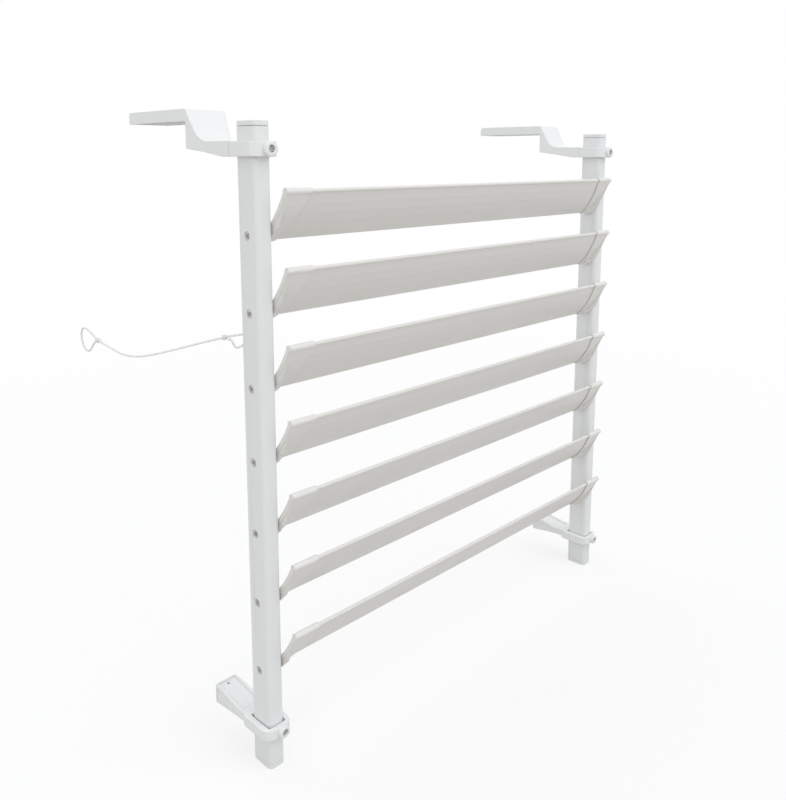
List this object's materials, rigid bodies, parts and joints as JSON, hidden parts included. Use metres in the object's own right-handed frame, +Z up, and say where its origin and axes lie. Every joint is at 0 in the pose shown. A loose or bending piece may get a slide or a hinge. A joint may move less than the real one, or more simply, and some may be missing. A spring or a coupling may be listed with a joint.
{
  "type": "louvred wind deflector screen",
  "caption": "Louvred plastic screen with tilting blades between two posts, hung on a ledge by sliding hooks and steadied by sliding stays.",
  "frame": {"origin": "middle of the width, level with the foot of the posts, in the plane of the upright face that the stays rest against", "axes": "+X to the right seen from the front, +Y to the back, away from the blades' lips, +Z up along the posts"},
  "size_m": [0.5871, 0.2126, 0.561],
  "materials": {
    "white_plastic": "satin white moulding",
    "blade_plastic": "satin off-white extrusion",
    "end_plastic": "satin white moulding",
    "screw_steel": "plated",
    "cord_plastic": "translucent white cord"
  },
  "bodies": {
    "frame": {"left_post": "white_plastic", "right_post": "white_plastic", "left_top_cap": "white_plastic", "left_bottom_cap": "white_plastic", "right_top_cap": "white_plastic", "right_bottom_cap": "white_plastic", "tie_cord": "cord_plastic", "cord_bight": "cord_plastic", "near_knot": "cord_plastic", "far_knot": "cord_plastic", "cord_loop": "cord_plastic"},
    "blade_1": {"blade_1": "blade_plastic", "blade_1_left_end": "end_plastic", "blade_1_right_end": "end_plastic", "blade_1_left_screw": "screw_steel", "blade_1_right_screw": "screw_steel"},
    "blade_2": {"blade_2": "blade_plastic", "blade_2_left_end": "end_plastic", "blade_2_right_end": "end_plastic", "blade_2_left_screw": "screw_steel", "blade_2_right_screw": "screw_steel"},
    "blade_3": {"blade_3": "blade_plastic", "blade_3_left_end": "end_plastic", "blade_3_right_end": "end_plastic", "blade_3_left_screw": "screw_steel", "blade_3_right_screw": "screw_steel"},
    "blade_4": {"blade_4": "blade_plastic", "blade_4_left_end": "end_plastic", "blade_4_right_end": "end_plastic", "blade_4_left_screw": "screw_steel", "blade_4_right_screw": "screw_steel"},
    "blade_5": {"blade_5": "blade_plastic", "blade_5_left_end": "end_plastic", "blade_5_right_end": "end_plastic", "blade_5_left_screw": "screw_steel", "blade_5_right_screw": "screw_steel"},
    "blade_6": {"blade_6": "blade_plastic", "blade_6_left_end": "end_plastic", "blade_6_right_end": "end_plastic", "blade_6_left_screw": "screw_steel", "blade_6_right_screw": "screw_steel"},
    "blade_7": {"blade_7": "blade_plastic", "blade_7_left_end": "end_plastic", "blade_7_right_end": "end_plastic", "blade_7_left_screw": "screw_steel", "blade_7_right_screw": "screw_steel"},
    "left_hook": {"left_top_hook": "white_plastic", "left_top_clamp": "screw_steel"},
    "right_hook": {"right_top_hook": "white_plastic", "right_top_clamp": "screw_steel"},
    "left_stay": {"left_bottom_stay": "white_plastic", "left_bottom_clamp": "screw_steel"},
    "right_stay": {"right_bottom_stay": "white_plastic", "right_bottom_clamp": "screw_steel"}
  },
  "joints": [
    {"name": "tilt_1", "type": "hinge", "parent": "frame", "child": "blade_1", "pos_m": [0, -0.066, 0.461], "axis": [1, 0, 0], "range_deg": [-38, 82]},
    {"name": "tilt_2", "type": "hinge", "parent": "frame", "child": "blade_2", "pos_m": [0, -0.066, 0.399], "axis": [1, 0, 0], "range_deg": [-38, 82]},
    {"name": "tilt_3", "type": "hinge", "parent": "frame", "child": "blade_3", "pos_m": [0, -0.066, 0.337], "axis": [1, 0, 0], "range_deg": [-38, 82]},
    {"name": "tilt_4", "type": "hinge", "parent": "frame", "child": "blade_4", "pos_m": [0, -0.066, 0.275], "axis": [1, 0, 0], "range_deg": [-38, 82]},
    {"name": "tilt_5", "type": "hinge", "parent": "frame", "child": "blade_5", "pos_m": [0, -0.066, 0.213], "axis": [1, 0, 0], "range_deg": [-38, 82]},
    {"name": "tilt_6", "type": "hinge", "parent": "frame", "child": "blade_6", "pos_m": [0, -0.066, 0.151], "axis": [1, 0, 0], "range_deg": [-38, 82]},
    {"name": "tilt_7", "type": "hinge", "parent": "frame", "child": "blade_7", "pos_m": [0, -0.066, 0.089], "axis": [1, 0, 0], "range_deg": [-38, 82]},
    {"name": "left_hook_slide", "type": "slide", "parent": "frame", "child": "left_hook", "axis": [0, 0, 1], "range_m": [-0.01, 0.012]},
    {"name": "right_hook_slide", "type": "slide", "parent": "frame", "child": "right_hook", "axis": [0, 0, 1], "range_m": [-0.01, 0.012]},
    {"name": "left_stay_slide", "type": "slide", "parent": "frame", "child": "left_stay", "axis": [0, 0, 1], "range_m": [-0.02, 0.012]},
    {"name": "right_stay_slide", "type": "slide", "parent": "frame", "child": "right_stay", "axis": [0, 0, 1], "range_m": [-0.02, 0.012]}
  ]
}
